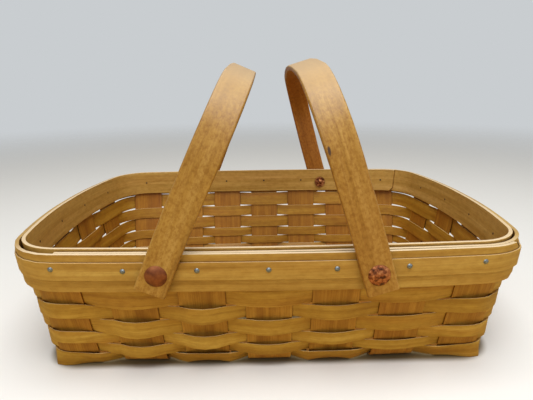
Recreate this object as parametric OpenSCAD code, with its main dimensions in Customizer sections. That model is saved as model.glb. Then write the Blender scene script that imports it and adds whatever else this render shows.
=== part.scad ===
// Woven splint basket with two swing handles.
// Millimetres, +Z up, and the front looks to -Y. The origin is under the middle of the overall outline,
// on the ground. The outer band is double along the front, so the walls' middle lies a little behind it.
// Flat uprights cross under the base and stand up as the walls. Closed rows of weavers pass in and out
// between them, two bent bands clamp the tops, and each handle swings on two copper rivets.

/* [Rim] */
// Length of the rim's top edge over a single outer band
rim_length = 461; // [450:1:490]
// Width of the rim's top edge over a single outer band
rim_width = 322; // [315:1:350]
// Radius of the slow curve along the front and the back
long_side_radius = 3200; // [2500:100:6000]
// Radius of the slow curve along the two ends of the rim
short_side_radius = 560; // [500:10:1000]
// Corner radius of the rim
rim_corner = 50; // [42:0.5:56]
// How far the rim leans out at each end, from its lower edge to its top
end_rim_flare = 2.6; // [0:0.1:5]
// How far the rim leans out along the front and back, from its lower edge to its top
side_rim_flare = 1.4; // [0:0.1:3]

/* [Walls] */
// How far each end wall leans out from base to band
end_flare = 13.2; // [6:0.1:14]
// How far the front and back walls lean out from base to band
side_flare = 26.1; // [12:0.1:32]
// Corner radius of the walls at the base
base_corner = 26; // [24:1:34]
// Radius of the slow curve along the two ends of the base
base_end_radius = 900; // [700:10:1500]

/* [Uprights] */
// Width of an upright
upright_width = 39; // [34:0.5:42]
// Thickness of an upright
upright_thickness = 1.2; // [1:0.1:1.8]
// Radius of the cross uprights' bends, from the base up the long sides
side_bend = 15; // [10:0.5:15]
// Radius of the long uprights' bends, from the base up the ends
end_bend = 11.5; // [9:0.5:12]
// Distance from the end of the base to the middle of the outermost cross upright
cross_margin = 37; // [36:0.5:44]
// How much closer together the cross uprights stand in the middle than an even spacing
middle_crowding = 2.4; // [0:0.1:4]
// How far to the left the cross uprights stand of even
cross_shift = 1.2; // [0:0.1:2]
// Distance from the side of the base to the middle of the outermost long upright
long_margin = 37; // [33:0.5:42]

/* [Weavers] */
// Width of a wall weaver
weaver_width = 15; // [12:0.1:16]
// Width of the lowest weaver, which rests on the bends
base_weaver_width = 16; // [14:0.1:17]
// Thickness of a weaver
weaver_thickness = 1.1; // [0.9:0.1:1.5]
// Gap between one row of weavers and the next
row_gap = 0.4; // [0.3:0.1:2]
// Clearance between a weaver and the upright that it crosses
weave_clearance = 0.15; // [0.1:0.05:0.3]
// How far a weaver arches clear of the middle of an upright, outside
outside_arch = 4; // [0:0.1:5]
// The same for the highest row, close under the outer band
top_row_arch = 1.8; // [0:0.1:3]
// How far a weaver arches clear of the middle of an upright, inside
inside_arch = 0.3; // [0:0.1:0.8]
// How far the lower edge of an outer span stands out from the wall past the upper edge
lower_edge_out = 3; // [0:0.1:4]
// Slope of the lowest weaver where it tucks under the base, in degrees
tuck_angle = 36; // [15:1:38]
// Shares of that slope at an upright's edges, and in the gap between two uprights
edge_tuck = 0.8; // [0.75:0.05:1]
gap_tuck = 0.5; // [0.4:0.05:1]
// How far the lowest weaver rides up where it lies outside, away from the corners
base_rise = 2; // [0:0.5:2.5]
// How far the other outside rows ride up over the front's first and last uprights
left_corner_rise = 5; // [0:0.5:5]
right_corner_rise = 2.5; // [0:0.5:5]

/* [Bands] */
// Height of the outer band
outer_band_height = 32.4; // [28:0.1:40]
// Height of the inner band
inner_band_height = 31.3; // [28:0.1:40]
// How far the inner band's top stands above the outer band's
inner_band_rise = 1.6; // [0:0.1:2]
// Gap between the highest wall weaver and the outer band
band_gap = 0.6; // [0.5:0.1:2.5]
// Thickness of the outer band
outer_band_thickness = 3.2; // [2.5:0.1:4.5]
// Thickness of the inner band
inner_band_thickness = 3.2; // [2.5:0.1:4.5]
// Clearance between each band and the uprights that it clamps
band_clearance = 0.3; // [0.25:0.05:0.4]
// Clearance between the layers where a band laps over itself
lap_clearance = 0.2; // [0.1:0.05:0.4]
// Where the outer band's lap ends, along the front from its middle
outer_lap_end = 200; // [190:1:206]
// Length of the outer band's lap, which runs along the whole front
outer_lap_length = 368; // [350:1:378]
// How far the outer layer of that lap springs off the inner one, right of the middle
lap_spring = 1.2; // [0:0.1:2]
// Where the inner band's lap ends, along the back from its middle
inner_lap_end = 194; // [186:1:204]
// Length of the inner band's lap
inner_lap_length = 66; // [50:1:70]
// Size of the cut corners at the end of a lap
lap_chamfer = 5; // [2:0.5:8]
// Height of the trim strip over the outer band
trim_height = 15.4; // [12:0.1:20]
// How far the trim strip's middle lies above the outer band's
trim_raise = 2.2; // [0:0.1:4]
// Thickness of the trim strip
trim_thickness = 1.4; // [1.2:0.1:2.5]
// Clearance between the trim strip and the outer band
trim_clearance = 0.1; // [0.05:0.05:0.3]

/* [Nails] */
// Diameter of a nail's domed head
nail_head_diameter = 4.6; // [4:0.1:6]
// Height of a nail's domed head
nail_head_height = 1.2; // [0.8:0.1:2]
// Diameter of a nail's shank
nail_diameter = 1.6; // [1.2:0.1:2]

/* [Handles] */
// Width of a handle
handle_width = 25.4; // [22:0.1:28]
// Thickness of a handle
handle_thickness = 5; // [4:0.1:6]
// Height of a handle's middle line above its pivots
handle_rise = 168.2; // [150:0.1:190]
// Radius of a handle's shoulders, at mid thickness
shoulder_radius = 70; // [40:1:80]
// How far the top of a handle arches above its shoulders
handle_crown = 7.5; // [0:0.5:8]
// How far a leg reaches below its pivot
leg_end = 16.5; // [12:0.5:20]
// Size of the eased long edges of a handle
handle_edge = 1.1; // [0.5:0.1:2]
// Gap between a leg and the trim strip at its pivot
leg_clearance = 0.8; // [0.7:0.1:1.5]
// Angle that the left handle leans in at rest, in degrees
left_lean = 23; // [10:0.5:25]
// Angle that the right handle leans in at rest, in degrees
right_lean = 16.5; // [10:0.5:22]
// How far the left handle is bent out of true at its shoulders
left_twist = -3.5; // [-6:0.5:6]
// How far the right handle is bent out of true at its shoulders
right_twist = 3; // [-6:0.5:6]
// How far outwards the left handle's pivots stand of the middle of the gap between two uprights
left_pivot_shift = 2.4; // [0:0.1:5]
// How far the left handle's pivots lie below the trim strip's middle
left_pivot_drop = 0.7; // [0:0.1:5]
// How far the right handle's pivots lie below the trim strip's middle
right_pivot_drop = 2.7; // [0:0.1:5]

/* [Rivets] */
// Diameter of a rivet's shank
rivet_diameter = 6; // [5:0.1:8]
// Diameter of a rivet's domed head
rivet_head_diameter = 17.4; // [13:0.1:20]
// Height of a rivet's domed head
rivet_head_height = 3; // [2:0.1:5]
// Diameter of the rove inside the rim
rove_diameter = 15; // [12:0.1:18]
// Thickness of a rove
rove_thickness = 1.6; // [1:0.1:2.5]
// Height of the hammered tail inside the rove
rivet_tail_height = 1.4; // [1:0.1:2]
// Radial clearance between a rivet and the wood that it holds
rivet_clearance = 0.1; // [0.05:0.05:0.2]
// Radial clearance between a rivet and the handle that turns on it
pivot_clearance = 0.08; // [0.05:0.01:0.1]
// Clearance along the rivet at the head and the rove
end_clearance = 0.2; // [0.1:0.05:0.4]

/* [Hidden] */
cross_count = 7;
long_count = 4;
row_count = 6;

FRONT = 0;
RIGHT = 1;
BACK = 2;
LEFT = 3;
maple = "#c9953f";
pale_maple = "#d8ab58";
band_maple = "#bf8f42";
copper = "#8a4a2a";
steel = "#8b98a0";

// Heights. The strips weren't cut to one width: each one's share of weaver_width, from row 2 up
row_shares = [0.71, 0.81, 1.07, 0.97, 1.23];
function row_width(row) = row == 1 ? base_weaver_width : weaver_width * row_shares[row - 2];
function row_top(row) = row_width(row) + (row == 1 ? 0 : row_gap + row_top(row - 1));
wall_top = row_top(row_count) + band_gap;
outer_band_top = wall_top + outer_band_height;
rim_height = outer_band_top + inner_band_rise;
trim_middle = wall_top + outer_band_height / 2 + trim_raise;
trim_top = trim_middle + trim_height / 2;
upright_top = rim_height - 5;

// Layers across the wall, as offsets from the middle of the uprights
band_offset = upright_thickness / 2 + band_clearance;
wall_inset = outer_band_thickness + band_offset;
weave_offset = upright_thickness / 2 + weave_clearance + weaver_thickness / 2;
outer_lap_rise = outer_band_thickness + lap_clearance;
inner_lap_rise = inner_band_thickness + lap_clearance;

// Base
wall_half_length = rim_length / 2 - wall_inset - end_rim_flare;
wall_half_width = rim_width / 2 - wall_inset - side_rim_flare;
base_half_length = wall_half_length - end_flare;
base_half_width = wall_half_width - side_flare;
base_wave = (upright_thickness + weave_clearance) / 2;
base_mid_z = upright_thickness / 2 + base_wave;
cross_reach = base_half_length - cross_margin;
long_reach = base_half_width - long_margin;
cross_spacing = 2 * cross_reach / (cross_count - 1);
long_spacing = 2 * long_reach / (long_count - 1);

function lerp(a, b, f) = a + (b - a) * f;
function clamp01(f) = max(0, min(1, f));
function ease(f) = let(c = clamp01(f)) c * c * (3 - 2 * c);
function to_rad(angle) = angle * PI / 180;
function to_deg(angle) = angle * 180 / PI;

// Plans. A plan is a rounded rectangle with slightly bowed sides: [half length, half width, corner radius,
// curvature of the ends].
// Side 0 is the front, 1 the right end, 2 the back and 3 the left end, anticlockwise from above.
long_radius = long_side_radius - wall_inset;
wall_plan = [wall_half_length, wall_half_width, rim_corner - wall_inset, 1 / (short_side_radius - wall_inset)];
base_plan = [base_half_length, base_half_width, base_corner, 1 / base_end_radius];
rim_flares = [end_rim_flare, side_rim_flare, 0, 0];
function plan_at(z) = let(f = clamp01(z / wall_top))
  base_plan * (1 - f) + wall_plan * f + rim_flares * max(0, z - wall_top) / outer_band_height;
function is_long(side) = side % 2 == 0;
function base_out(side) = is_long(side) ? base_half_width : base_half_length;
function side_lean(side) = (is_long(side) ? side_flare : end_flare) / wall_top;
function stretch(lean) = sqrt(1 + lean * lean);

// A point at an angle from straight out
function ray(angle) = [sin(angle), cos(angle)];
function place(side, along, out, z) =
  side == FRONT ? [along, -out, z]
  : side == RIGHT ? [out, along, z]
  : side == BACK ? [-along, out, z]
  : [-out, -along, z];

// From the middle of a side to the next: [corner centre, angle where the corner starts, where it ends]
function corner_of(plan, side) = let(
  near_radius = is_long(side) ? long_radius : 1 / plan[3],
  far_radius = is_long(side) ? 1 / plan[3] : long_radius,
  near = [0, (is_long(side) ? plan[1] : plan[0]) - near_radius],
  far = [(is_long(side) ? plan[0] : plan[1]) - far_radius, 0],
  apart = norm(far - near),
  way = (far - near) / apart,
  r1 = near_radius - plan[2],
  r2 = far_radius - plan[2],
  foot = (apart * apart + r1 * r1 - r2 * r2) / (2 * apart),
  centre = near + way * foot + sqrt(r1 * r1 - foot * foot) * [way[1], -way[0]]
) [centre, atan2(centre[0] - near[0], centre[1] - near[1]), atan2(centre[0] - far[0], centre[1] - far[1])];

// The point at a distance along the wall from the middle of a side, and at an offset outwards
function spot(z, side, s, offset) = let(
  plan = plan_at(z),
  corner = corner_of(plan, side),
  near_radius = is_long(side) ? long_radius : 1 / plan[3],
  far_radius = is_long(side) ? 1 / plan[3] : long_radius,
  near = [0, (is_long(side) ? plan[1] : plan[0]) - near_radius],
  far = [(is_long(side) ? plan[0] : plan[1]) - far_radius, 0],
  t = abs(s),
  first = near_radius * to_rad(corner[1]),
  second = first + plan[2] * to_rad(corner[2] - corner[1]),
  p = t < first ? near + (near_radius + offset) * ray(to_deg(t / near_radius))
    : t < second ? corner[0] + (plan[2] + offset) * ray(corner[1] + to_deg((t - first) / plan[2]))
    : far + (far_radius + offset) * ray(corner[2] + to_deg((t - second) / far_radius))
) place(side, s < 0 ? -p[0] : p[0], p[1], z);

// Distance along the wall from the middle of the front to the middle of an end
function quarter_at(z) = let(plan = plan_at(z), corner = corner_of(plan, FRONT))
  long_radius * to_rad(corner[1]) + plan[2] * to_rad(corner[2] - corner[1])
  + to_rad(90 - corner[2]) / plan[3];
quarter = quarter_at(wall_top);

// Solids swept through sections that all have the same number of points, in order round the section
function side_faces(n, m, closed) = [
  for (i = [0 : n - (closed ? 1 : 2)], j = [0 : m - 1]) let(
    a = i * m + j,
    b = i * m + (j + 1) % m,
    c = ((i + 1) % n) * m + (j + 1) % m,
    d = ((i + 1) % n) * m + j
  ) each [[a, d, c], [a, c, b]]
];
function cap_faces(m, start, far_end) = [
  for (j = [0 : m / 2 - 2]) let(
    a = start + j, b = a + 1, c = start + m - 2 - j, d = c + 1
  ) each far_end ? [[a, c, b], [a, d, c]] : [[a, b, c], [a, c, d]]
];
module sweep(sections, closed = false) {
  n = len(sections);
  m = len(sections[0]);
  ends = closed ? [] : concat(cap_faces(m, 0, false), cap_faces(m, (n - 1) * m, true));
  polyhedron(points = [for (section = sections) each section], faces = concat(side_faces(n, m, closed), ends));
}

// Crossings, in order round the wall: [side, distance from the side's middle, corner], where corner is
// -1 with a corner just before it, 1 with one just after it, or 0
crossing_count = 2 * (cross_count + long_count);
function cross_at(i) = let(n = i - (cross_count + 1) / 2, last = (cross_count - 1) / 2)
  n * cross_spacing - middle_crowding * n * (last * last - n * n) / (last * last - 1) - cross_shift;
function long_at(j) = (j - (long_count + 1) / 2) * long_spacing;
function corner_side(n, count) = n == 0 ? -1 : n == count - 1 ? 1 : 0;
function crossing(k) =
  k < cross_count ? [FRONT, cross_at(k + 1), corner_side(k, cross_count)]
  : k < cross_count + long_count ? let(n = k - cross_count) [RIGHT, long_at(n + 1), corner_side(n, long_count)]
  : k < 2 * cross_count + long_count ? let(n = k - cross_count - long_count)
    [BACK, -cross_at(cross_count - n), corner_side(n, cross_count)]
  : let(n = k - 2 * cross_count - long_count) [LEFT, long_at(n + 1), corner_side(n, long_count)];
function crossing_steps(corner) = corner ? [for (n = [-3 : 3]) n / 6] : [-0.5, 0, 0.5];
function weaver_steps(corner) = corner ? crossing_steps(corner) : [-0.5, -0.25, 0, 0.25, 0.5];
function ends_side(k) = crossing(k)[0] != crossing((k + 1) % crossing_count)[0];
corner_gap_steps = [0.12, 0.31, 0.5, 0.69, 0.88];

// The pivots stand in the gaps between the second and third cross uprights from each end
left_pivot_x = (cross_at(2) + cross_at(3)) / 2 - left_pivot_shift;
right_pivot_x = (cross_at(cross_count - 2) + cross_at(cross_count - 1)) / 2;
left_pivot_z = trim_middle - left_pivot_drop;
right_pivot_z = trim_middle - right_pivot_drop;

// Uprights. Each one is a strip that runs down one wall, across the base and up the other wall.
bend_steps = 5;
function bend(side) = is_long(side) ? side_bend : end_bend;
function bend_middle_z(side) = base_mid_z + bend(side);
function bend_middle(side) = base_out(side) + side_lean(side) * bend_middle_z(side)
  - bend(side) * stretch(side_lean(side));
function bend_z(side, angle, extra) = bend_middle_z(side) - (bend(side) + extra) * cos(angle);
function bend_offset(side, angle, extra) = bend_middle(side) + (bend(side) + extra) * sin(angle)
  - base_out(side) - side_lean(side) * bend_z(side, angle, extra);

// One wall's profile from the top down: [outer offset, outer height, inner offset, inner height]
function wall_profile(side, corner) = let(
  lean = side_lean(side),
  rim_lean = (is_long(side) ? side_rim_flare : end_rim_flare) / outer_band_height,
  half = upright_thickness / 2,
  kink = half * tan((atan(lean) - atan(rim_lean)) / 2),
  leaning = half * stretch(lean)
) concat(
  [[half, upright_top, -half, upright_top], [leaning, wall_top - kink, -half, wall_top + kink]],
  [for (f = corner ? [0.75, 0.5, 0.25] : []) [leaning, wall_top * f, -leaning, wall_top * f]],
  [for (i = [bend_steps : -1 : 0]) let(angle = (90 - atan(lean)) * i / bend_steps)
    [for (extra = [half, -half]) each [bend_offset(side, angle, extra), bend_z(side, angle, extra)]]]
);

// The base's profile: distance from the middle, and the height of the strip's middle
function base_profile(side, number) = let(
  other_count = is_long(side) ? long_count : cross_count
) [
  for (i = [1 : other_count]) let(
    middle = is_long(side) ? long_at(i) : -cross_at(cross_count + 1 - i),
    wave = (number + i + side) % 2 == 0 ? base_wave : -base_wave
  ) each [[middle - upright_width / 2, base_mid_z + wave], [middle + upright_width / 2, base_mid_z + wave]]
];

module upright(side, number, middle, corner) {
  across = [for (f = crossing_steps(corner)) middle + f * upright_width];
  back_across = [for (i = [len(across) - 1 : -1 : 0]) across[i]];
  half = upright_thickness / 2;
  profile = wall_profile(side, corner);
  down = [for (p = profile) concat(
    [for (s = back_across) spot(p[1], side, s, p[0])],
    [for (s = across) spot(p[3], side, s, p[2])])];
  floor_part = [for (p = base_profile(side, number)) concat(
    [for (s = back_across) place(side, s, -p[0], p[1] - half)],
    [for (s = across) place(side, s, -p[0], p[1] + half)])];
  up = [for (i = [len(profile) - 1 : -1 : 0]) let(p = profile[i]) concat(
    [for (s = back_across) spot(p[1], side + 2, -s, p[0])],
    [for (s = across) spot(p[3], side + 2, -s, p[2])])];
  sweep(concat(down, floor_part, up));
}
module cross_upright(i) {
  color(maple) upright(FRONT, i, cross_at(i), i == 1 || i == cross_count);
}
// The long uprights' frame is turned a quarter, so their first wall is the right end
module long_upright(j) {
  color(maple) upright(RIGHT, j, long_at(j), j == 1 || j == long_count);
}

// Weavers. A pose is [offset of the top edge, tilt of the strip from plumb, rise of the strip].
bend_clearance = weave_clearance + 0.15;
contact_depth = upright_thickness / 2 + weave_clearance + weaver_thickness / 2;
inner_contact_depth = upright_thickness / 2 + bend_clearance + weaver_thickness / 2;

// The lowest weaver lies on the bends: outside it slopes under them, inside it fills the hollow
function resting_offset(side, tilt, rise) = let(lean = side_lean(side), top = base_weaver_width + rise)
  tilt < atan(lean) ? weave_offset * stretch(lean)
  : bend_middle(side) - base_out(side) - lean * top
    + (bend(side) + contact_depth + (top - bend_middle_z(side)) * sin(tilt)) / cos(tilt);
function hollow_tilt(side) = let(
  lean = side_lean(side),
  top = [base_out(side) + lean * base_weaver_width - weave_offset * stretch(lean) - bend_middle(side),
    base_weaver_width - bend_middle_z(side)],
  inner = bend(side) - inner_contact_depth,
  reach = (top * top + base_weaver_width * base_weaver_width - inner * inner) / (2 * base_weaver_width)
) atan2(top[0], top[1]) - acos(reach / norm(top));

// How loosely the weavers pass over the front's uprights, from left to right, and over all the others
front_slacks = [0.8, 1.15, 1.3, 0.8, 0.8, 0.5, 0.8];
other_slack = 0.45;
function slack(k) = k < cross_count ? front_slacks[k] : other_slack;
function corner_rise(k) = k == 0 ? left_corner_rise : k == cross_count - 1 ? right_corner_rise : 0;

// A weaver's pose over crossing k, at a place across the upright from -0.5 at one edge to 0.5 at the other.
// The lowest weaver stands plumb at a corner and tucks under the base away from it, most at mid upright.
function pose(row, k, f) = let(
  side = crossing(k)[0],
  corner = crossing(k)[2],
  lean = side_lean(side),
  outside = (row + k) % 2 == 1,
  middle = 1 - 4 * f * f,
  tuck = tuck_angle * lerp(edge_tuck, 1, middle) * (corner == 0 ? 1 : 0.5 - f * corner),
  lying = weave_offset * stretch(lean),
  arch = (row == row_count ? top_row_arch : outside_arch) * slack(k),
  flick = asin(lower_edge_out * slack(k) * (2 + middle) / 3 / row_width(row) / stretch(lean)),
  tuck_rise = corner == 0 ? base_rise * middle : 0
) outside && row == 1 ? [resting_offset(side, tuck, tuck_rise), tuck, tuck_rise]
  : row == 1 ? [-lying, hollow_tilt(side), 0]
  : outside ? [lying + arch * middle, atan(lean) - flick, corner_rise(k) * (1 + middle) / 2]
  : [-lying - inside_arch * middle, atan(lean), 0];

// One cross-section: a strip with its top edge at a height, at distances `a + b * quarter` along the wall
function strip_section(side, a, b, lean, pose, row_top, width) = let(
  top = row_top + pose[2],
  bottom = top - width * cos(pose[1]),
  half = weaver_thickness / 2 / cos(pose[1]),
  drop = lean * (min(top, wall_top) - min(bottom, wall_top)),
  low = pose[0] + drop - width * sin(pose[1]),
  s_top = b == 0 ? a : a + b * quarter_at(top),
  s_bottom = b == 0 ? a : a + b * quarter_at(bottom)
) [
  spot(top, side, s_top, pose[0] + half),
  spot(bottom, side, s_bottom, low + half),
  spot(bottom, side, s_bottom, low - half),
  spot(top, side, s_top, pose[0] - half)
];
function crossing_sections(row, k, top, width) = let(
  c = crossing(k)
) [for (f = weaver_steps(c[2] != 0))
  strip_section(c[0], c[1] + f * upright_width, 0, side_lean(c[0]), pose(row, k, f), top, width)];
function gap_sections(row, k, top, width) = let(
  c = crossing(k),
  next_k = (k + 1) % crossing_count,
  next_c = crossing(next_k),
  turns = ends_side(k),
  start = c[1] + upright_width / 2,
  gap_end = next_c[1] - upright_width / 2,
  here = pose(row, k, 0.5),
  there = pose(row, next_k, -0.5)
) [for (f = turns ? corner_gap_steps : [1 / 3, 2 / 3]) let(
  share = turns ? ease(f) : f < 0.5 ? 0.25 : 0.75,
  rise = here[2] * clamp01(1 - 3 * share) + there[2] * clamp01(3 * share - 2),
  a = turns ? start - (start - gap_end) * f : start + (gap_end - start) * f,
  lean = side_lean(c[0]) * (1 - share) + side_lean(next_c[0]) * share,
  offset = lerp(here[0], there[0], share),
  tilt = lerp(here[1], there[1], share) * (row == 1 && !turns ? gap_tuck : 1)
) strip_section(c[0], a, turns ? f : 0, lean, [offset, tilt, rise], top, width)];
module weaver_row(row) {
  top = row_top(row);
  width = row_width(row);
  color(pale_maple) sweep(closed = true, sections = [
    for (k = [0 : crossing_count - 1]) each concat(
      crossing_sections(row, k, top, width), gap_sections(row, k, top, width))
  ]);
}

// Bands. A place on the rim is its distance u round the wall, anticlockwise from the front's middle.
turn = 4 * quarter;
function rim_spot(u, offset, z) = let(
  v = u - turn * round(u / turn),
  scale = quarter_at(z) / quarter
) abs(v) <= quarter ? spot(z, FRONT, v * scale, offset)
  : spot(z, BACK, (v > 0 ? v - 2 * quarter : v + 2 * quarter) * scale, offset);
corner_start = long_radius * to_rad(corner_of(wall_plan, FRONT)[1]);
corner_end = quarter - to_rad(90 - corner_of(wall_plan, FRONT)[2]) / wall_plan[3];
long_steps = 4;
corner_steps = 12;
short_steps = 6;
quarter_stations = concat(
  [for (i = [0 : long_steps - 1]) corner_start * i / long_steps],
  [for (i = [0 : corner_steps - 1]) lerp(corner_start, corner_end, i / corner_steps)],
  [for (i = [0 : short_steps - 1]) lerp(corner_end, quarter, i / short_steps)]);
rim_stations = [for (n = [0 : 3]) each n % 2 == 0
  ? [for (u = quarter_stations) n * quarter + u]
  : [for (i = [len(quarter_stations) - 1 : -1 : 0]) (n + 1) * quarter - quarter_stations[i]]];
station_margin = 0.5;
function stations(from, to) = concat([from], [
  for (n = [-1 : 1], u = rim_stations) let(v = u + n * turn)
    if (v > from + station_margin && v < to - station_margin) v
], [to]);
ramp_steps = [0.15, 0.35, 0.5, 0.65, 0.85];
function ramp(from, to) = [for (f = ramp_steps) from + (to - from) * f];

// The outer band's end rises over its start. The trim strip follows it and steps down beyond the end.
outer_ramp = 60;
outer_start = outer_lap_end - outer_lap_length;
ramp_end = turn + outer_start - 2;
lap_end = turn + outer_lap_end;
spring_run = 50;
spring_from = turn - spring_run;
trim_step = 14;
trim_joint = 0.4;
trim_start = 2 * quarter - right_pivot_x + 8;
trim_end = trim_start + turn - trim_joint;
function outer_rise(u) = outer_lap_rise * ease((u - ramp_end + outer_ramp) / outer_ramp)
  + lap_spring * pow(sin(180 * clamp01((u - spring_from) / (lap_end - spring_from))), 2);
function trim_rise(u) = u < lap_end + 0.5 ? outer_rise(u)
  : outer_lap_rise * (1 - ease((u - lap_end - 0.5) / trim_step));

// The inner band's start lies inside its end
inner_start = 2 * quarter - inner_lap_end;
inner_ramp_start = inner_start + inner_lap_length + 2;
inner_ramp = 26;
function inner_rise(u) = -inner_lap_rise * (1 - ease((u - inner_ramp_start) / inner_ramp));

function band_section(u, offset, thickness, bottom, top) = [
  rim_spot(u, offset + thickness / 2, top),
  rim_spot(u, offset + thickness / 2, bottom),
  rim_spot(u, offset - thickness / 2, bottom),
  rim_spot(u, offset - thickness / 2, top)
];
inner_band_offset = -band_offset - inner_band_thickness / 2;
outer_band_offset = band_offset + outer_band_thickness / 2;
trim_offset = wall_inset + trim_clearance + trim_thickness / 2;

module inner_band() {
  bottom = rim_height - inner_band_height;
  full = inner_start + lap_chamfer;
  places = concat(
    stations(full, inner_ramp_start),
    ramp(inner_ramp_start, inner_ramp_start + inner_ramp),
    stations(inner_ramp_start + inner_ramp, inner_start + inner_lap_length + turn));
  color(band_maple) difference() {
    sweep(concat(
      [band_section(inner_start, inner_band_offset - inner_lap_rise, inner_band_thickness,
        bottom + lap_chamfer, rim_height)],
      [for (u = places)
        band_section(u, inner_band_offset + inner_rise(u), inner_band_thickness, bottom, rim_height)]));
    rivet_holes(rivet_clearance);
  }
}
module outer_band() {
  places = concat(
    stations(outer_start, ramp_end - outer_ramp),
    ramp(ramp_end - outer_ramp, ramp_end),
    stations(ramp_end, lap_end - lap_chamfer));
  color(band_maple) difference() {
    sweep(concat(
      [for (u = places)
        band_section(u, outer_band_offset + outer_rise(u), outer_band_thickness, wall_top, outer_band_top)],
      [band_section(lap_end, outer_band_offset + outer_lap_rise, outer_band_thickness,
        wall_top + lap_chamfer, outer_band_top - lap_chamfer)]));
    rivet_holes(rivet_clearance);
  }
}
module trim_strip() {
  places = concat(
    stations(trim_start, ramp_end - outer_ramp),
    ramp(ramp_end - outer_ramp, ramp_end),
    stations(ramp_end, lap_end + 0.5),
    ramp(lap_end + 0.5, lap_end + 0.5 + trim_step),
    stations(lap_end + 0.5 + trim_step, trim_end));
  color(pale_maple) difference() {
    sweep([for (u = places) band_section(u, trim_offset + trim_rise(u), trim_thickness,
      trim_top - trim_height, trim_top)]);
    rivet_holes(rivet_clearance);
  }
}

// Out from the middle plane to the wall's middle surface, plus an offset, at x along the front or back
function long_out(x, offset, z) = let(radius = long_radius + offset)
  plan_at(z)[1] - long_radius + sqrt(radius * radius - x * x);
function leg_in(x, rise) = long_out(x, trim_offset + trim_thickness / 2 + rise, trim_top) + leg_clearance;

module rivet_holes(clearance) {
  for (pivot = [[left_pivot_x, 0, left_pivot_z], [right_pivot_x, 0, right_pivot_z]])
    translate(pivot)
      rotate([90, 0, 0])
        cylinder(d = rivet_diameter + 2 * clearance, h = 2 * rim_width, center = true, $fn = 48);
}

// Nails, one through the middle of each upright at the trim strip's mid height
module dome(diameter, height) {
  radius = (pow(diameter / 2, 2) + height * height) / (2 * height);
  intersection() {
    translate([0, 0, height - radius]) sphere(radius, $fn = 48);
    cylinder(d = diameter, h = height, $fn = 48);
  }
}
nail_bury = 0.3;
nail_tail = 1.2;
module nail(u, rise, z) {
  outer = rim_spot(u, trim_offset + trim_thickness / 2 + rise, z);
  inner = rim_spot(u, inner_band_offset, z);
  way = outer - inner;
  translate(inner)
    rotate([0, 90, atan2(way[1], way[0])]) {
      translate([0, 0, -nail_tail]) cylinder(d = nail_diameter, h = norm(way) + nail_tail, $fn = 24);
      translate([0, 0, norm(way) - nail_bury]) dome(nail_head_diameter, nail_head_height + nail_bury);
    }
}
// How far each nail along the front was driven off its upright's middle, to the right and upwards
front_nail_shifts = [
  [5, 2.2], [0, 0.6], [0, 0.8], [-0.4, 0.8], [-3.2, 0.8], [-4.1, 1.2], [-4, 2.4]
];
module band_nails() {
  color(steel) for (k = [0 : crossing_count - 1]) {
    c = crossing(k);
    shift = k < cross_count ? front_nail_shifts[k] : [0, 0];
    u = c[0] * quarter + c[1] + shift[0];
    nail(u, trim_rise(u < trim_start ? u + turn : u), trim_middle + shift[1]);
  }
}

// Rivets and their roves. Each one is drawn looking out along +Z from the basket's middle plane.
// The rove bears on the inner band at the lower edge, where the rim leans in the most.
function rove_out(x, z) = let(reach = rove_diameter / 2)
  long_out(abs(x) + reach, inner_band_offset - inner_band_thickness / 2, z - reach) - end_clearance;
module rivet(x, z, rise) {
  head = leg_in(x, rise) + handle_thickness + end_clearance;
  tail = rove_out(x, z) - rove_thickness - end_clearance;
  translate([0, 0, head]) dome(rivet_head_diameter, rivet_head_height);
  translate([0, 0, tail]) cylinder(d = rivet_diameter, h = head - tail + 0.5, $fn = 48);
  translate([0, 0, tail]) rotate([180, 0, 0]) dome(rivet_diameter + 2, rivet_tail_height);
}
module rove(x, z) {
  translate([0, 0, rove_out(x, z) - rove_thickness]) difference() {
    cylinder(d = rove_diameter, h = rove_thickness, $fn = 48);
    translate([0, 0, -1])
      cylinder(d = rivet_diameter + 2 * rivet_clearance, h = rove_thickness + 2, $fn = 48);
  }
}
module at_pivot(x, z, y_sign) {
  translate([x, 0, z]) rotate([-90 * y_sign, 0, 0]) children();
}
function front_rise(x) = outer_rise(turn + x);
module front_rivet(x, z) { color(copper) at_pivot(x, z, -1) rivet(x, z, front_rise(x)); }
module back_rivet(x, z) { color(copper) at_pivot(x, z, 1) rivet(x, z, 0); }
module rivet_front_left() { front_rivet(left_pivot_x, left_pivot_z); }
module rivet_front_right() { front_rivet(right_pivot_x, right_pivot_z); }
module rivet_back_left() { back_rivet(left_pivot_x, left_pivot_z); }
module rivet_back_right() { back_rivet(right_pivot_x, right_pivot_z); }
module rivet_roves() {
  color(copper) for (y_sign = [-1, 1]) {
    at_pivot(left_pivot_x, left_pivot_z, y_sign) rove(left_pivot_x, left_pivot_z);
    at_pivot(right_pivot_x, right_pivot_z, y_sign) rove(right_pivot_x, right_pivot_z);
  }
}

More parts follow.
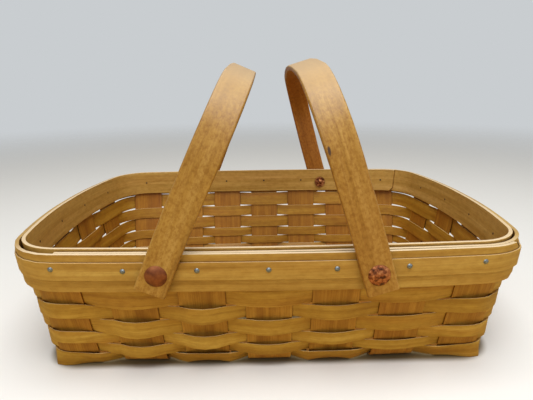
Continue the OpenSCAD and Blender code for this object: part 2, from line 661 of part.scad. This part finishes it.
// Handles. The middle line is [distance from the basket's middle plane, height above the pivot], from
// the front leg's end over the top to the back leg's end.
shoulder_steps = 7;
crown_steps = 5;
straight_leg = 20;
bent_leg = 130;
function handle_line(front, back) = let(
  half = (front + back) / 2,
  middle = (back - front) / 2,
  reach = half - shoulder_radius,
  crown = max(handle_crown, 0.1),
  top_radius = (reach * reach + crown * crown) / (2 * crown) + shoulder_radius,
  shoulder = handle_rise - crown - shoulder_radius,
  meet = asin(reach / (top_radius - shoulder_radius))
) concat(
  [for (h = [-leg_end, straight_leg, shoulder * 0.6]) [middle - half, h, -90]],
  [for (i = [0 : shoulder_steps]) let(angle = -90 + (90 - meet) * i / shoulder_steps)
    [middle - reach + shoulder_radius * sin(angle), shoulder + shoulder_radius * cos(angle), angle]],
  [for (i = [1 : crown_steps - 1]) let(angle = -meet + 2 * meet * i / crown_steps)
    [middle + top_radius * sin(angle), handle_rise - top_radius + top_radius * cos(angle), angle]],
  [for (i = [shoulder_steps : -1 : 0]) let(angle = 90 - (90 - meet) * i / shoulder_steps)
    [middle + reach + shoulder_radius * sin(angle), shoulder + shoulder_radius * cos(angle), angle]],
  [for (h = [shoulder * 0.6, straight_leg, -leg_end]) [middle + half, h, 90]]
);
w = handle_width / 2;
t = handle_thickness / 2;
e = handle_edge;
handle_outline = [
  [w, t - e], [w, e - t], [w - e, -t], [e - w, -t], [-w, e - t], [-w, t - e], [e - w, t], [w - e, t]
];
module handle(x, z, lean, twist) {
  front = leg_in(x, front_rise(x)) + t;
  back = leg_in(x, 0) + t;
  translate([x, 0, z]) rotate([0, lean, 0]) difference() {
    sweep([for (p = handle_line(front, back)) let(
      bent = twist * p[0] / back * ease((p[1] - straight_leg) / bent_leg)
    ) [for (c = handle_outline) [c[0] + bent, p[0] + c[1] * sin(p[2]), p[1] + c[1] * cos(p[2])]]]);
    rotate([90, 0, 0])
      cylinder(d = rivet_diameter + 2 * pivot_clearance, h = 2 * rim_width, center = true, $fn = 48);
  }
}
module left_handle() { color(band_maple) handle(left_pivot_x, left_pivot_z, left_lean, left_twist); }
module right_handle() { color(band_maple) handle(right_pivot_x, right_pivot_z, -right_lean, right_twist); }

// The overall outline reaches further to the front than to the back by the lap's rise at the right rivet
module centred() { translate([0, front_rise(right_pivot_x) / 2, 0]) children(); }
for (i = [1 : cross_count]) centred() cross_upright(i);
for (j = [1 : long_count]) centred() long_upright(j);
for (i = [1 : row_count]) centred() weaver_row(i);
centred() inner_band();
centred() outer_band();
centred() trim_strip();
centred() band_nails();
centred() rivet_front_left();
centred() rivet_front_right();
centred() rivet_back_left();
centred() rivet_back_right();
centred() rivet_roves();
centred() left_handle();
centred() right_handle();
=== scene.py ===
# Looks of a woven splint basket with two swing handles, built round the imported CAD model.
# Metres, in the CAD model's frame: origin under the middle of the base, front towards -Y.
import math

import bpy
from mathutils import Matrix, Vector


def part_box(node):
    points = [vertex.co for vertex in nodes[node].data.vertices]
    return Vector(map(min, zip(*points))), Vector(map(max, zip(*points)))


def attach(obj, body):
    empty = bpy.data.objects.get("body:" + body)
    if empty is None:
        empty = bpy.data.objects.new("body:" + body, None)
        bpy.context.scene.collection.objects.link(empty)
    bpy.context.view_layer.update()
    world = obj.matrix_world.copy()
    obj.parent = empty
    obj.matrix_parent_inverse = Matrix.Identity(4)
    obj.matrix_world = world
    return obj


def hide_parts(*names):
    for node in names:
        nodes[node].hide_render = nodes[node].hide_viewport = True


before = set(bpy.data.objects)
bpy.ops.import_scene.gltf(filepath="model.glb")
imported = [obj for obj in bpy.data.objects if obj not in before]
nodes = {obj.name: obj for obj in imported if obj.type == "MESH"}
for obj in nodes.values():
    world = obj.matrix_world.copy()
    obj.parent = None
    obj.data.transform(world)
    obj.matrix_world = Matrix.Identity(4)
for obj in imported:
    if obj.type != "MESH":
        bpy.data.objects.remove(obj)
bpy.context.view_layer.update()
mm = 0.001


def toLinear(channel):
    return channel / 12.92 if channel <= 0.04045 else ((channel + 0.055) / 1.055) ** 2.4


def colour(hexText):
    channels = [int(hexText[i:i + 2], 16) / 255 for i in (1, 3, 5)]
    return tuple(toLinear(c) for c in channels) + (1.0,)


def newMaterial(name):
    material = bpy.data.materials.new(name)
    material.use_nodes = True
    return material, material.node_tree, material.node_tree.nodes["Principled BSDF"]


# Settings are the node's own properties or its inputs by name or number
def addNode(tree, kind, settings=None, links=None):
    node = tree.nodes.new(kind)
    for key, value in (settings or {}).items():
        if isinstance(key, str) and hasattr(node, key):
            setattr(node, key, value)
        else:
            node.inputs[key].default_value = value
    for socket, source in (links or {}).items():
        tree.links.new(source, node.inputs[socket])
    return node


def ramp(tree, source, stops):
    node = addNode(tree, "ShaderNodeValToRGB", links={"Fac": source})
    band = node.color_ramp
    while len(band.elements) < len(stops):
        band.elements.new(0.5)
    for element, (place, hexText) in zip(band.elements, stops):
        element.position = place
        element.color = colour(hexText)
    return node.outputs["Color"]


# Ease a value from 0 to 1 between two limits
def fade(tree, source, low, high):
    settings = {"interpolation_type": "SMOOTHSTEP", "From Min": low, "From Max": high}
    return addNode(tree, "ShaderNodeMapRange", settings, {"Value": source}).outputs["Result"]


def scaled(tree, vector, scale):
    return addNode(tree, "ShaderNodeMapping", {"Scale": scale}, {"Vector": vector}).outputs["Vector"]


def noise(tree, vector, settings):
    allSettings = {"Scale": 1.0, "Detail": 2.0, **settings}
    return addNode(tree, "ShaderNodeTexNoise", allSettings, {"Vector": vector}).outputs["Fac"]


def multiply(tree, first, second, share=1.0):
    node = addNode(tree, "ShaderNodeMix", {"data_type": "RGBA", "blend_type": "MULTIPLY", 0: share})
    tree.links.new(first, node.inputs[6])
    tree.links.new(second, node.inputs[7])
    return node.outputs[2]


def mixColour(tree, share, first, second):
    node = addNode(tree, "ShaderNodeMix", {"data_type": "RGBA"}, {0: share})
    tree.links.new(first, node.inputs[6])
    node.inputs[7].default_value = colour(second)
    return node.outputs[2]


def maths(tree, operation, first, second):
    node = addNode(tree, "ShaderNodeMath", {"operation": operation}, {0: first})
    if isinstance(second, (int, float)):
        node.inputs[1].default_value = second
    else:
        tree.links.new(second, node.inputs[1])
    return node.outputs["Value"]


# Scale a place so that a pattern is short across the strip and long along it
def grainScale(across, acrossScale, alongScale):
    return tuple(acrossScale if axis == across else alongScale for axis in range(3))


# A short knock, as a share of 1 in its middle
def scratchShare(tree, coords, scratch):
    turned = addNode(tree, "ShaderNodeVectorRotate", {"Center": scratch["place"], "Axis": (0, 1, 0),
                                                     "Angle": math.radians(scratch["turn"])},
                     {"Vector": coords.outputs["Object"]}).outputs["Vector"]
    apart = addNode(tree, "ShaderNodeVectorMath", {"operation": "SUBTRACT", 1: scratch["place"]}, {0: turned})
    size = (1 / scratch["width"], 0, 1 / scratch["length"])
    apart = addNode(tree, "ShaderNodeVectorMath", {"operation": "MULTIPLY", 1: size}, {0: apart.outputs["Vector"]})
    apart = addNode(tree, "ShaderNodeVectorMath", {"operation": "LENGTH"}, {0: apart.outputs["Vector"]})
    front = addNode(tree, "ShaderNodeSeparateXYZ", links={"Vector": coords.outputs["Object"]}).outputs["Y"]
    return maths(tree, "MULTIPLY", fade(tree, apart.outputs["Value"], 0.55, 0.3), fade(tree, front, -0.16, -0.165))


# Maple splint: sliced with the grain, so that the fibres run along the strip, then sanded and oiled
def woodMaterial(name, look):
    material, tree, shader = newMaterial(name)
    coords = addNode(tree, "ShaderNodeTexCoord")
    turned = addNode(tree, "ShaderNodeMapping", {"Rotation": (0, math.radians(look.get("turn", 0)), 0)},
                     {"Vector": coords.outputs["Object"]}).outputs["Vector"]
    across = look["across"]
    # Annual rings cut lengthwise: streaks some 6 mm apart, and up to 200 mm long
    streaks = noise(tree, scaled(tree, turned, grainScale(across, 150, 5)), {"Detail": 3.0, "Distortion": 0.35})
    # Fibres: under 1 mm apart, some 50 mm long
    fibres = noise(tree, scaled(tree, turned, grainScale(across, 1200, 22)), {"Detail": 4.0, "Roughness": 0.6})
    # Each strip comes from another part of the tree
    strips = noise(tree, scaled(tree, turned, look["stripScale"]), {"Detail": 1.0})
    # Mottled figure and flecks, 2 to 8 mm, as sanded maple shows
    mottle = noise(tree, scaled(tree, turned, grainScale(across, *look["mottleScale"])),
                   {"Detail": 3.0, "Roughness": 0.65})
    tint = ramp(tree, streaks, [(0.28, look["dark"]), (0.5, look["middle"]), (0.72, look["pale"])])
    tint = multiply(tree, tint, ramp(tree, fibres, [(0.3, "#D9CBB8"), (0.62, "#FFFFFF")]), look["fibreShare"])
    tint = multiply(tree, tint, ramp(tree, strips, [(0.34, "#DCCBA0"), (0.5, "#FFFFFF"), (0.66, "#EED0BC")]),
                    look["stripShare"])
    tint = multiply(tree, tint, ramp(tree, mottle, [(0.34, "#CFB994"), (0.6, "#FFFFFF")]), look["mottleShare"])
    # Small dark dashes along the grain where fibres were torn or knocked
    dashes = noise(tree, scaled(tree, turned, grainScale(across, 700, 60)), {"Detail": 1.0})
    places = noise(tree, scaled(tree, turned, (45, 45, 45)), {"Detail": 1.0})
    marks = maths(tree, "MULTIPLY", fade(tree, dashes, 0.7, 0.78), fade(tree, places, 0.55, 0.66))
    tint = mixColour(tree, maths(tree, "MULTIPLY", marks, look["markShare"]), tint, "#4A2A10")
    # Painted shade and warm bounce light: faces turned towards the basket's middle are tinted darker and redder
    inward = addNode(tree, "ShaderNodeVectorMath", {"operation": "SUBTRACT", 1: (0, 0, 0.12)},
                     {0: coords.outputs["Object"]}).outputs["Vector"]
    inward = addNode(tree, "ShaderNodeVectorMath", {"operation": "DOT_PRODUCT"},
                     {0: coords.outputs["Normal"], 1: inward}).outputs["Value"]
    inward = ramp(tree, fade(tree, inward, -0.02, -0.05), [(0, "#FFFFFF"), (1, look["inside"])])
    tint = multiply(tree, tint, inward)
    # Faces that look up are painted paler, most at the front: partly real, as cut edges soaked in no finish and hands
    # wore them, and partly a painted highlight where light from above falls on them
    upward = addNode(tree, "ShaderNodeSeparateXYZ", links={"Vector": coords.outputs["Normal"]}).outputs["Z"]
    depth = addNode(tree, "ShaderNodeSeparateXYZ", links={"Vector": coords.outputs["Object"]}).outputs["Y"]
    wearAndHighlightShare = addNode(tree, "ShaderNodeMapRange", {"From Min": -0.13, "From Max": -0.155, "To Min": look["edgeShare"],
                                               "To Max": look["frontEdgeShare"]}, {"Value": depth}).outputs["Result"]
    edge = maths(tree, "MULTIPLY", fade(tree, upward, look["edgeFrom"], look["edgeTo"]), wearAndHighlightShare)
    tint = mixColour(tree, edge, tint, look["edge"])
    # Painted shade: creases beside a step or under another strip are darkened by ambient occlusion
    creaseShade = addNode(tree, "ShaderNodeAmbientOcclusion", {"samples": 8, "Distance": 3 * mm}).outputs["AO"]
    tint = multiply(tree, tint, ramp(tree, creaseShade, [(0.12, "#3A1E08"), (0.42, "#B08C5E"), (0.74, "#FFFFFF")]),
                    look["creaseShadeShare"])
    if "scratch" in look:
        tint = mixColour(tree, scratchShare(tree, coords, look["scratch"]), tint, "#4A3428")
    tree.links.new(tint, shader.inputs["Base Color"])
    # The fibres stand 0.05 mm proud, and the rings are slightly harder than what lies between
    relief = addNode(tree, "ShaderNodeBump", {"Strength": 0.6, "Distance": 0.06 * mm}, {"Height": fibres})
    waves = addNode(tree, "ShaderNodeBump", {"Strength": 0.5, "Distance": 0.25 * mm},
                    {"Height": mottle, "Normal": relief.outputs["Normal"]})
    tree.links.new(waves.outputs["Normal"], shader.inputs["Normal"])
    gloss = addNode(tree, "ShaderNodeMapRange", {"To Min": look["roughness"] - 0.07, "To Max": look["roughness"] + 0.1},
                    {"Value": mottle})
    tree.links.new(gloss.outputs["Result"], shader.inputs["Roughness"])
    shader.inputs["Specular IOR Level"].default_value = 0.4
    return material


# Copper rivet, hammered over by hand and browned: dents about 3 mm across, bright only where rubbed
def copperMaterial(name, look):
    material, tree, shader = newMaterial(name)
    coords = addNode(tree, "ShaderNodeTexCoord").outputs["Object"]
    bent = addNode(tree, "ShaderNodeMix", {"data_type": "VECTOR", 0: 0.004}, {4: coords})
    wobble = addNode(tree, "ShaderNodeTexNoise", {"Scale": 260.0, "Detail": 1.0}, {"Vector": coords})
    tree.links.new(wobble.outputs["Color"], bent.inputs[5])
    dents = addNode(tree, "ShaderNodeTexVoronoi", {"feature": "SMOOTH_F1", "Scale": look["dentScale"], "Smoothness": 0.6},
                    {"Vector": bent.outputs[1]}).outputs["Distance"]
    spots = noise(tree, coords, {"Scale": look["spotScale"], "Detail": 4.0, "Roughness": 0.6})
    tint = ramp(tree, spots, [(0.36, look["dark"]), (0.5, look["middle"]), (0.66, look["pale"])])
    tree.links.new(tint, shader.inputs["Base Color"])
    bump = addNode(tree, "ShaderNodeBump", {"Strength": look["dentDepth"], "Distance": 0.7 * mm}, {"Height": dents})
    tree.links.new(bump.outputs["Normal"], shader.inputs["Normal"])
    dull = addNode(tree, "ShaderNodeMapRange", {"To Min": 0.32, "To Max": 0.62}, {"Value": spots})
    tree.links.new(dull.outputs["Result"], shader.inputs["Roughness"])
    shader.inputs["Metallic"].default_value = look["metallic"]
    return material


# Steel nails: pressed heads gone dull grey, and clinched tips with rust on them
def nailMaterial(name, dark, pale, metallic, roughness):
    material, tree, shader = newMaterial(name)
    coords = addNode(tree, "ShaderNodeTexCoord").outputs["Object"]
    wear = noise(tree, coords, {"Scale": 1400.0, "Detail": 2.0})
    tint = ramp(tree, wear, [(0.3, dark), (0.7, pale)])
    tree.links.new(tint, shader.inputs["Base Color"])
    bump = addNode(tree, "ShaderNodeBump", {"Strength": 0.4, "Distance": 0.1 * mm}, {"Height": wear})
    tree.links.new(bump.outputs["Normal"], shader.inputs["Normal"])
    shader.inputs["Metallic"].default_value = metallic
    shader.inputs["Roughness"].default_value = roughness
    return material


# Faces are cut with a knife or a saw: their edges are eased by hand, 0.25 mm or so
def easeEdges(item, width, angle=35):
    weld = item.modifiers.new("join_corners", "WELD")
    weld.merge_threshold = 0.002 * mm
    bevel = item.modifiers.new("eased_edges", "BEVEL")
    bevel.width = width
    bevel.segments = 2
    bevel.angle_limit = math.radians(angle)
    # Sliding along the edges would drag the long thin triangles round the rivets' holes
    bevel.loop_slide = False
    item.modifiers.new("even_shading", "WEIGHTED_NORMAL")
    item.data.shade_smooth()


# In each look the inside tint is painted shade and warm bounce light, the crease share sets how strong the painted
# shade in creases is, and the edge colour is partly wear and partly painted highlight
looks = {
    "crossUpright": {"across": 0, "stripScale": (16, 1, 1), "mottleScale": (210, 110), "inside": "#F8E6B4",
                     "dark": "#9C6E26", "middle": "#AE812E", "pale": "#BE933C",
                     "fibreShare": 0.8, "stripShare": 0.4, "mottleShare": 0.3, "markShare": 0.3, "roughness": 0.5,
                     "edge": "#B08A50", "edgeFrom": 0.8, "edgeTo": 0.95, "edgeShare": 0.0, "frontEdgeShare": 0.0,
                     "creaseShadeShare": 1.0},
    "longUpright": {"across": 1, "stripScale": (1, 16, 1), "mottleScale": (210, 110), "inside": "#F8E6B4",
                     "dark": "#9C6E26", "middle": "#AE812E", "pale": "#BE933C",
                    "fibreShare": 0.8, "stripShare": 0.4, "mottleShare": 0.3, "markShare": 0.3, "roughness": 0.5,
                    "edge": "#B08A50", "edgeFrom": 0.8, "edgeTo": 0.95, "edgeShare": 0.0, "frontEdgeShare": 0.0,
                    "creaseShadeShare": 1.0},
    "weaver": {"across": 2, "stripScale": (5, 5, 66), "mottleScale": (210, 110), "inside": "#F8E6B4",
                "dark": "#A07828", "middle": "#B69138", "pale": "#C6A54C",
               "fibreShare": 0.6, "stripShare": 0.5, "mottleShare": 0.4, "markShare": 0.3, "roughness": 0.46,
               "edge": "#E2C58E", "edgeFrom": 0.75, "edgeTo": 0.95, "edgeShare": 0.6, "frontEdgeShare": 0.7,
               "creaseShadeShare": 0.9},
    "innerBand": {"across": 2, "stripScale": (3, 3, 30), "mottleScale": (300, 160), "inside": "#FFFFFF",
                   "dark": "#AA8238", "middle": "#C0984C", "pale": "#D0AA60",
                  "fibreShare": 0.5, "stripShare": 0.3, "mottleShare": 0.4, "markShare": 0.35, "roughness": 0.4,
                  "edge": "#E4CEAA", "edgeFrom": 0.75, "edgeTo": 0.95, "edgeShare": 0.75, "frontEdgeShare": 0.95,
                  "creaseShadeShare": 0.85},
    "outerBand": {"across": 2, "stripScale": (3, 3, 30), "mottleScale": (210, 110), "inside": "#FFFFFF",
                   "dark": "#9E782E", "middle": "#B48E40", "pale": "#C4A252",
                  "fibreShare": 0.5, "stripShare": 0.3, "mottleShare": 0.35, "markShare": 0.04, "roughness": 0.42,
                  "edge": "#E4CEAA", "edgeFrom": 0.6, "edgeTo": 0.9, "edgeShare": 0.1, "frontEdgeShare": 0.95,
                  "creaseShadeShare": 0.85},
    "leftHandle": {"across": 0, "turn": -23, "stripScale": (3, 3, 3), "mottleScale": (420, 300), "inside": "#F6CEA4",
                    "dark": "#96702E", "middle": "#AC843A",
                   "pale": "#BC9850", "fibreShare": 0.4, "stripShare": 0.3, "mottleShare": 0.75, "markShare": 0.3,
                   "roughness": 0.4, "edge": "#CDB088", "edgeFrom": 0.45, "edgeTo": 0.98, "edgeShare": 0.75,
                   "frontEdgeShare": 0.75, "creaseShadeShare": 0.4},
    "rightHandle": {"across": 0, "turn": 16.5, "stripScale": (3, 3, 3), "mottleScale": (420, 300), "inside": "#F6CEA4",
                    "scratch": {"place": (0.0419, -0.168, 0.2021), "turn": 12.6, "width": 2.5 * mm, "length": 8 * mm},
                     "dark": "#96702E", "middle": "#AC843A",
                    "pale": "#BC9850", "fibreShare": 0.4, "stripShare": 0.3, "mottleShare": 0.75, "markShare": 0.3,
                    "roughness": 0.4, "edge": "#CDB088", "edgeFrom": 0.45, "edgeTo": 0.98, "edgeShare": 0.75,
                    "frontEdgeShare": 0.75, "creaseShadeShare": 0.4},
}
looks["trim"] = {**looks["outerBand"], "frontEdgeShare": 0.45}
copperLooks = {
    "smooth": {"dentScale": 240.0, "spotScale": 110.0, "dentDepth": 0.12, "metallic": 0.5,
               "dark": "#582A12", "middle": "#7A4220", "pale": "#92582E"},
    "hammered": {"dentScale": 420.0, "spotScale": 300.0, "dentDepth": 0.55, "metallic": 0.6,
                 "dark": "#46220F", "middle": "#965630", "pale": "#C88C58"},
}
print("materials")
wood = {
    "crossUpright": woodMaterial("split_maple_cross_uprights", looks["crossUpright"]),
    "longUpright": woodMaterial("split_maple_long_uprights", looks["longUpright"]),
    "weaver": woodMaterial("split_maple_weavers", looks["weaver"]),
    "innerBand": woodMaterial("steam_bent_maple_inner_band", looks["innerBand"]),
    "outerBand": woodMaterial("steam_bent_maple_outer_band", looks["outerBand"]),
    "trim": woodMaterial("steam_bent_maple_trim", looks["trim"]),
    "leftHandle": woodMaterial("steam_bent_maple_left_handle", looks["leftHandle"]),
    "rightHandle": woodMaterial("steam_bent_maple_right_handle", looks["rightHandle"]),
}
smoothCopper = copperMaterial("browned_copper", copperLooks["smooth"])
hammeredCopper = copperMaterial("hammered_copper", copperLooks["hammered"])
steel = nailMaterial("dull_steel_nails", "#4E565C", "#98A2A8", 0.75, 0.42)
rustyTips = nailMaterial("rusted_steel_tips", "#3C2A1C", "#5E4630", 0.2, 0.7)


def lookOf(name):
    if "nails" in name:
        return steel, 0
    if name == "rivet_front_left":
        return smoothCopper, 0
    if "rivet" in name:
        return hammeredCopper, 0
    if name == "left_handle":
        return wood["leftHandle"], 0.6 * mm
    if name == "right_handle":
        return wood["rightHandle"], 0.6 * mm
    if name.startswith("cross_upright"):
        return wood["crossUpright"], 0.2 * mm
    if name.startswith("long_upright"):
        return wood["longUpright"], 0.2 * mm
    if name.startswith("weaver_row"):
        return wood["weaver"], 0.25 * mm
    if name == "inner_band":
        return wood["innerBand"], 0.35 * mm
    return wood["trim" if name == "trim_strip" else "outerBand"], 0.3 * mm


# Between the uprights the lowest weaver rolls under the base, so that its lower edge runs level
def levelLowestWeaver():
    mesh = nodes["weaver_row_1"].data.copy()
    piece = bpy.data.objects.new("lowest_weaver", mesh)
    bpy.context.collection.objects.link(piece)
    edges = {0: [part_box(f"cross_upright_{i}") for i in range(1, 8)], 1: [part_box(f"long_upright_{i}") for i in range(1, 5)]}
    for vertex in mesh.vertices:
        for axis, boxes in edges.items():
            out = 1 - axis
            gaps = [(near[1][axis], far[0][axis]) for near, far in zip(boxes, boxes[1:])]
            inGap = any(start + 2 * mm < vertex.co[axis] < end - 2 * mm for start, end in gaps)
            onWall = abs(vertex.co[out]) > (0.1 if axis == 0 else 0.17)
            if inGap and onWall and vertex.co.z < 1.5 * mm:
                vertex.co.z += 1.9 * mm
                vertex.co[out] -= math.copysign(3.8 * mm, vertex.co[out])
    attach(piece, "basket")
    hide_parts("weaver_row_1")
    mesh.materials.clear()
    mesh.materials.append(wood["weaver"])
    easeEdges(piece, 0.25 * mm)


# Inside the rim each nail shows its clinched tip, rusted dark
def addNailTips(radius=1.3 * mm, height=0.4 * mm):
    nails = []
    for vertex in nodes["band_nails"].data.vertices:
        nail = next((n for n in nails if (n[0] - vertex.co).length < 20 * mm), None)
        if nail is None:
            nails.append([vertex.co.copy()])
        else:
            nail.append(vertex.co.copy())
    points, faces = [], []
    for nail in nails:
        head = max(nail, key=lambda p: (p.x / 0.23) ** 4 + (p.y / 0.17) ** 4)
        length = max((p - head).length for p in nail)
        end = [p for p in nail if (p - head).length > length - 0.3 * mm]
        tip = sum(end, Vector()) / len(end)
        inward = (tip - head).normalized()
        found, place, normal, index = nodes["inner_band"].ray_cast(tip + inward * 10 * mm, -inward)
        if not found:
            continue
        side = inward.cross(Vector((0, 0, 1))).normalized()
        above = side.cross(inward)
        start = len(points)
        rings = [(1.0, -0.3 * mm), (1.0, 0.0), (0.6, height * 0.8)]
        for share, rise in rings:
            for i in range(12):
                angle = 2 * math.pi * i / 12
                out = side * math.cos(angle) + above * math.sin(angle)
                points.append(place + out * radius * share + inward * rise)
        points.append(place + inward * height)
        for ring in range(2):
            for i in range(12):
                near = start + ring * 12
                after = (i + 1) % 12
                faces.append((near + i, near + after, near + 12 + after, near + 12 + i))
        faces += [(start + 24 + i, start + 24 + (i + 1) % 12, start + 36) for i in range(12)]
        faces.append(tuple(start + i for i in reversed(range(12))))
    mesh = bpy.data.meshes.new("nail_tips")
    mesh.from_pydata(points, [], faces)
    piece = bpy.data.objects.new("nail_tips", mesh)
    bpy.context.collection.objects.link(piece)
    mesh.materials.append(rustyTips)
    mesh.shade_smooth()
    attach(piece, "basket")


levelLowestWeaver()
addNailTips()
for name, node in nodes.items():
    material, edgeWidth = lookOf(name)
    node.data.materials.clear()
    node.data.materials.append(material)
    if edgeWidth:
        easeEdges(node, edgeWidth)

print("stage")
# A floor disc that fades into the backdrop, so that no horizon shows
floorRadius = 3.0
floorPoints = [(floorRadius * math.cos(2 * math.pi * i / 64), floorRadius * math.sin(2 * math.pi * i / 64), 0)
               for i in range(64)]
floorMesh = bpy.data.meshes.new("floor")
floorMesh.from_pydata(floorPoints, [], [tuple(range(64))])
floor = bpy.data.objects.new("floor", floorMesh)
bpy.context.collection.objects.link(floor)
floorMaterial, tree, shader = newMaterial("pale_paper_floor")
shader.inputs["Roughness"].default_value = 0.8
shader.inputs["Specular IOR Level"].default_value = 0.2
ray = addNode(tree, "ShaderNodeLightPath").outputs["Is Camera Ray"]
seen = addNode(tree, "ShaderNodeMix", {"data_type": "RGBA", 6: colour("#D8B468"), 7: colour("#EFEEEA")}, {0: ray})
place = addNode(tree, "ShaderNodeTexCoord").outputs["Object"]
# Painted shadow: the ground right under the basket is painted dim, in a rounded patch just inside the base's outline
low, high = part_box("weaver_row_1")
middle = [(a + b) / 2 for a, b in zip(low, high)]
reach = [(b - a) / 2 for a, b in zip(low, high)]
apart = addNode(tree, "ShaderNodeVectorMath", {"operation": "SUBTRACT", 1: (middle[0], middle[1], 0)}, {0: place})
aside = addNode(tree, "ShaderNodeVectorMath", {"operation": "ABSOLUTE"}, {0: apart.outputs["Vector"]})
corner = 45 * mm
past = addNode(tree, "ShaderNodeVectorMath", {"operation": "SUBTRACT", 1: (reach[0] - corner, reach[1] - corner, 0)},
               {0: aside.outputs["Vector"]})
past = addNode(tree, "ShaderNodeVectorMath", {"operation": "MAXIMUM", 1: (0, 0, 0)}, {0: past.outputs["Vector"]})
past = addNode(tree, "ShaderNodeVectorMath", {"operation": "LENGTH"}, {0: past.outputs["Vector"]}).outputs["Value"]
paintedShadowUnder = fade(tree, past, corner - 4 * mm, corner - 14 * mm)
tree.links.new(mixColour(tree, paintedShadowUnder, seen.outputs[2], "#7C6C4C"), shader.inputs["Base Color"])
distance = addNode(tree, "ShaderNodeVectorMath", {"operation": "LENGTH"}, {0: place}).outputs["Value"]
clear = addNode(tree, "ShaderNodeBsdfTransparent")
mixed = addNode(tree, "ShaderNodeMixShader", links={0: fade(tree, distance, 0.7, 2.6), 1: shader.outputs["BSDF"],
                                                   2: clear.outputs["BSDF"]})
tree.links.new(mixed.outputs["Shader"], tree.nodes["Material Output"].inputs["Surface"])
floorMesh.materials.append(floorMaterial)

lamps = {
    "topLamp": {"place": (0.05, -0.45, 1.4), "size": 1.0, "power": 17.5, "tint": "#FFFFFF"},
    "keyLamp": {"place": (-0.7, -1.3, 1.2), "size": 1.5, "power": 8.0, "tint": "#FFFFFF"},
    "fillLamp": {"place": (1.2, -1.1, 0.9), "size": 1.4, "power": 4.0, "tint": "#FFFFFF"},
}
for name, lamp in lamps.items():
    light = bpy.data.lights.new(name, "AREA")
    light.size = lamp["size"]
    light.energy = lamp["power"]
    light.color = colour(lamp["tint"])[:3]
    item = bpy.data.objects.new(name, light)
    item.location = lamp["place"]
    item.rotation_euler = (Vector((0, 0, 0.1)) - item.location).to_track_quat("-Z", "Y").to_euler()
    bpy.context.collection.objects.link(item)

# The backdrop shows pale grey, and lights the basket softly
world = bpy.data.worlds.new("soft_studio")
world.use_nodes = True
tree = world.node_tree
ray = addNode(tree, "ShaderNodeLightPath").outputs["Is Camera Ray"]
light = tree.nodes["Background"]
light.inputs["Color"].default_value = colour("#F2F0EC")
light.inputs["Strength"].default_value = 0.38
shown = addNode(tree, "ShaderNodeBackground", {"Color": colour("#C9CDD0"), "Strength": 1.0})
mixed = addNode(tree, "ShaderNodeMixShader", links={0: ray, 1: light.outputs["Background"], 2: shown.outputs["Background"]})
tree.links.new(mixed.outputs["Shader"], tree.nodes["World Output"].inputs["Surface"])
bpy.context.scene.world = world
bpy.context.scene.view_settings.view_transform = "Standard"

# The photograph's camera: 533 by 400, 420 pixels of focal length
photoWidth = 533
focalPixels = 420
shot = {"place": (-0.00774, -0.46184, 0.24779), "yaw": 0.96, "pitch": 15.37, "roll": -0.66}
yaw, pitch, roll = (math.radians(shot[k]) for k in ("yaw", "pitch", "roll"))
forward = Vector((math.sin(yaw) * math.cos(pitch), math.cos(yaw) * math.cos(pitch), -math.sin(pitch)))
right = Vector((math.cos(yaw), -math.sin(yaw), 0))
up = right.cross(forward)
rolledRight = right * math.cos(roll) + up * math.sin(roll)
rolledUp = up * math.cos(roll) - right * math.sin(roll)
lens = bpy.data.cameras.new("photo_camera")
lens.sensor_width = 36
lens.lens = focalPixels / photoWidth * 36
lens.clip_start = 0.01
camera = bpy.data.objects.new("photo_camera", lens)
turn = Matrix((rolledRight, rolledUp, -forward)).transposed().to_4x4()
camera.matrix_world = Matrix.Translation(shot["place"]) @ turn
bpy.context.collection.objects.link(camera)
bpy.context.scene.camera = camera

print("done")
